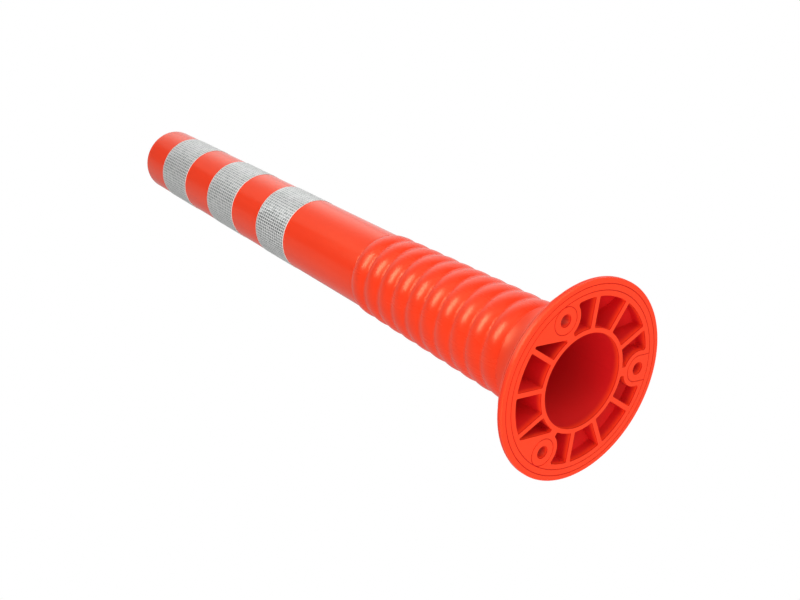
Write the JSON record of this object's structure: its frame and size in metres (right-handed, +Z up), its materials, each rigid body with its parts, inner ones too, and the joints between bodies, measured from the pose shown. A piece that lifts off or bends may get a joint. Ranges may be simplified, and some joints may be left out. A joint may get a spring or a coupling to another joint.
{
  "type": "delineator post",
  "caption": "Flexible road delineator post: bolt-down flange with ribbed underside, bending bellows and a smooth closed tube with reflective sleeves.",
  "frame": {"origin": "centre of the base's underside, on the post's axis", "axes": "+Z up along the post, +X from the axis towards one anchor hole"},
  "size_m": [0.2, 0.2, 0.75],
  "materials": {
    "orange_moulding": "gloss",
    "reflective_film": "retroreflective cells"
  },
  "bodies": {
    "base": {"base_flange": "orange_moulding"},
    "convolution_01": {"bellows_convolution_01": "orange_moulding"},
    "convolution_02": {"bellows_convolution_02": "orange_moulding"},
    "convolution_03": {"bellows_convolution_03": "orange_moulding"},
    "convolution_04": {"bellows_convolution_04": "orange_moulding"},
    "convolution_05": {"bellows_convolution_05": "orange_moulding"},
    "convolution_06": {"bellows_convolution_06": "orange_moulding"},
    "convolution_07": {"bellows_convolution_07": "orange_moulding"},
    "convolution_08": {"bellows_convolution_08": "orange_moulding"},
    "convolution_09": {"bellows_convolution_09": "orange_moulding"},
    "upper_post": {"bellows_convolution_10": "orange_moulding", "post_tube": "orange_moulding", "reflective_sleeve_1": "reflective_film", "reflective_sleeve_2": "reflective_film", "reflective_sleeve_3": "reflective_film"}
  },
  "joints": [
    {"name": "fall_bend_1", "type": "hinge", "parent": "base", "child": "convolution_01", "pos_m": [0, 0, 0.07375], "axis": [0, 1, 0], "range_deg": [-15, 15], "stiffness_Nm_per_rad": 180, "deforming": ["bellows_convolution_01"]},
    {"name": "sway_bend_1", "type": "hinge", "parent": "convolution_01", "child": "convolution_02", "pos_m": [0, 0, 0.09725], "axis": [-1, 0, 0], "range_deg": [-13.5, 13.5], "stiffness_Nm_per_rad": 120, "deforming": ["bellows_convolution_02"]},
    {"name": "fall_bend_2", "type": "hinge", "parent": "convolution_02", "child": "convolution_03", "pos_m": [0, 0, 0.12075], "axis": [0, 1, 0], "range_deg": [-15, 15], "stiffness_Nm_per_rad": 180, "deforming": ["bellows_convolution_03"]},
    {"name": "sway_bend_2", "type": "hinge", "parent": "convolution_03", "child": "convolution_04", "pos_m": [0, 0, 0.14425], "axis": [-1, 0, 0], "range_deg": [-13.5, 13.5], "stiffness_Nm_per_rad": 120, "deforming": ["bellows_convolution_04"]},
    {"name": "fall_bend_3", "type": "hinge", "parent": "convolution_04", "child": "convolution_05", "pos_m": [0, 0, 0.16775], "axis": [0, 1, 0], "range_deg": [-15, 15], "stiffness_Nm_per_rad": 180, "deforming": ["bellows_convolution_05"]},
    {"name": "fall_bend_4", "type": "hinge", "parent": "convolution_05", "child": "convolution_06", "pos_m": [0, 0, 0.19125], "axis": [0, 1, 0], "range_deg": [-15, 15], "stiffness_Nm_per_rad": 180, "deforming": ["bellows_convolution_06"]},
    {"name": "sway_bend_3", "type": "hinge", "parent": "convolution_06", "child": "convolution_07", "pos_m": [0, 0, 0.21475], "axis": [-1, 0, 0], "range_deg": [-13.5, 13.5], "stiffness_Nm_per_rad": 120, "deforming": ["bellows_convolution_07"]},
    {"name": "fall_bend_5", "type": "hinge", "parent": "convolution_07", "child": "convolution_08", "pos_m": [0, 0, 0.23825], "axis": [0, 1, 0], "range_deg": [-15, 15], "stiffness_Nm_per_rad": 180, "deforming": ["bellows_convolution_08"]},
    {"name": "sway_bend_4", "type": "hinge", "parent": "convolution_08", "child": "convolution_09", "pos_m": [0, 0, 0.26175], "axis": [-1, 0, 0], "range_deg": [-13.5, 13.5], "stiffness_Nm_per_rad": 120, "deforming": ["bellows_convolution_09"]},
    {"name": "fall_bend_6", "type": "hinge", "parent": "convolution_09", "child": "upper_post", "pos_m": [0, 0, 0.28525], "axis": [0, 1, 0], "range_deg": [-15, 15], "stiffness_Nm_per_rad": 180, "deforming": ["bellows_convolution_10"]}
  ],
  "couplings": [
    {"joint": "fall_bend_2", "follows": "fall_bend_1", "ratio": 1},
    {"joint": "sway_bend_2", "follows": "sway_bend_1", "ratio": 1},
    {"joint": "fall_bend_3", "follows": "fall_bend_1", "ratio": 1},
    {"joint": "fall_bend_4", "follows": "fall_bend_1", "ratio": 1},
    {"joint": "sway_bend_3", "follows": "sway_bend_1", "ratio": 1},
    {"joint": "fall_bend_5", "follows": "fall_bend_1", "ratio": 1},
    {"joint": "sway_bend_4", "follows": "sway_bend_1", "ratio": 1},
    {"joint": "fall_bend_6", "follows": "fall_bend_1", "ratio": 1}
  ]
}
